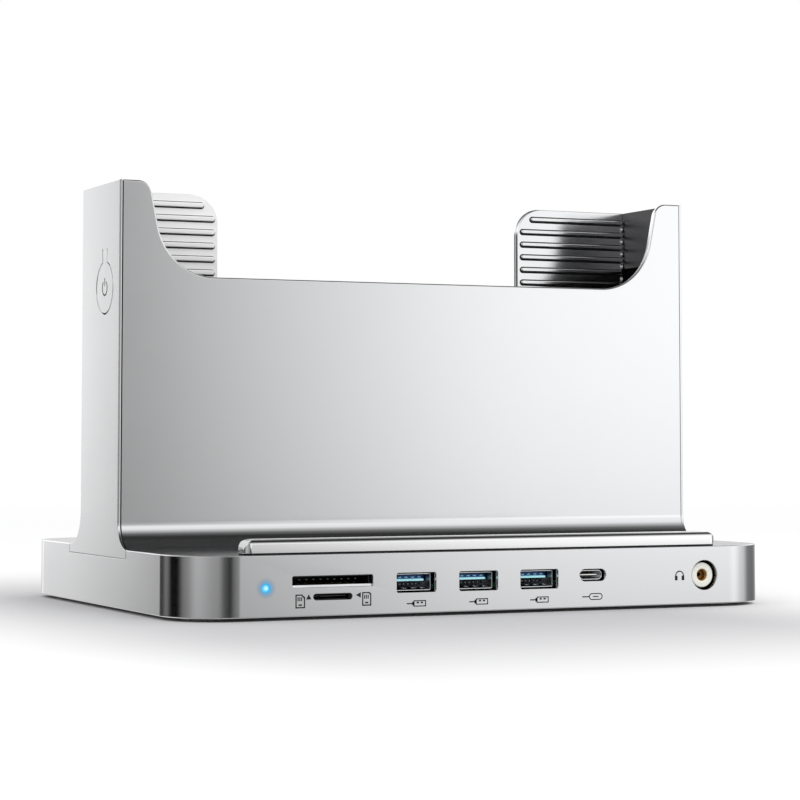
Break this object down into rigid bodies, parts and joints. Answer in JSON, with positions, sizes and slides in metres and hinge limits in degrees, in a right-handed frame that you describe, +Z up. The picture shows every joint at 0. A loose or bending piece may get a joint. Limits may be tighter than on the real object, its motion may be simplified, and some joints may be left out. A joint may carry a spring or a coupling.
{
  "type": "laptop docking station",
  "caption": "Flat aluminium base with sockets front and rear, under an upright slotted cradle that a closed laptop stands in on edge.",
  "frame": {"origin": "on the table, under the middle of the base", "axes": "+X to the right along the cradle, +Y to the back, +Z up; the sockets that show are in the -Y face"},
  "size_m": [0.226, 0.17, 0.1488],
  "materials": {
    "aluminium": "satin bead-blasted and anodised, silver",
    "inner_metal": "as cast",
    "liner": "satin silver",
    "rubber": "matt black",
    "black_plastic": "matt black",
    "board": "green solder mask",
    "screw_steel": "zinc plated",
    "socket_steel": "bright drawn steel",
    "blue_plastic": "moulded blue",
    "ivory_plastic": "moulded ivory",
    "light_lens": "clear, lit blue",
    "cable_film": "amber film"
  },
  "bodies": {
    "dock": {"base_shell": "aluminium", "bottom_cover": "black_plastic", "front_left_foot": "rubber", "front_left_cover_screw": "screw_steel", "front_right_foot": "rubber", "front_right_cover_screw": "screw_steel", "rear_left_foot": "rubber", "rear_left_cover_screw": "screw_steel", "rear_right_foot": "rubber", "rear_right_cover_screw": "screw_steel", "front_rail": "aluminium", "main_board": "board", "front_left_board_screw": "screw_steel", "front_right_board_screw": "screw_steel", "rear_left_board_screw": "screw_steel", "rear_right_board_screw": "screw_steel", "type_a_left_shell": "socket_steel", "type_a_left_tongue": "blue_plastic", "type_a_middle_shell": "socket_steel", "type_a_middle_tongue": "blue_plastic", "type_a_right_shell": "socket_steel", "type_a_right_tongue": "blue_plastic", "type_c_front_shell": "socket_steel", "type_c_front_tongue": "black_plastic", "large_card_slot": "socket_steel", "small_card_slot": "socket_steel", "network_jack": "socket_steel", "video_socket": "socket_steel", "rear_type_a_1": "socket_steel", "rear_type_a_2": "socket_steel", "host_type_c": "socket_steel", "power_type_c": "socket_steel", "audio_jack_ring": "ivory_plastic", "audio_jack_body": "black_plastic", "status_light_pipe": "light_lens", "status_light_chip": "ivory_plastic", "hub_chip": "black_plastic", "video_chip": "black_plastic", "heat_spreader": "inner_metal", "cradle_chassis": "inner_metal", "front_left_cradle_screw": "screw_steel", "front_right_cradle_screw": "screw_steel", "rear_left_cradle_screw": "screw_steel", "rear_right_cradle_screw": "screw_steel", "front_plate": "aluminium", "back_plate": "aluminium", "right_end_cover": "aluminium", "left_end_cover": "aluminium", "switch_body": "socket_steel", "switch_board": "board", "button_flex_cable": "cable_film", "back_liner": "liner", "front_liner": "liner", "left_liner": "liner", "right_liner": "liner", "pocket_floor": "liner", "floor_pad": "rubber"},
    "power_button": {"power_button": "aluminium"},
    "switch_plunger": {"switch_plunger": "black_plastic"}
  },
  "joints": [
    {"name": "power_button_flex", "type": "hinge", "parent": "dock", "child": "power_button", "pos_m": [-0.1125, -0.0053, 0.1255], "axis": [0, -1, 0], "range_deg": [0, 1.5], "stiffness_Nm_per_rad": 1},
    {"name": "switch_plunger_slide", "type": "slide", "parent": "dock", "child": "switch_plunger", "axis": [1, 0, 0], "range_m": [0, 0.00045]}
  ],
  "couplings": [
    {"joint": "switch_plunger_slide", "follows": "power_button_flex", "m_per_rad": 0.0136}
  ]
}
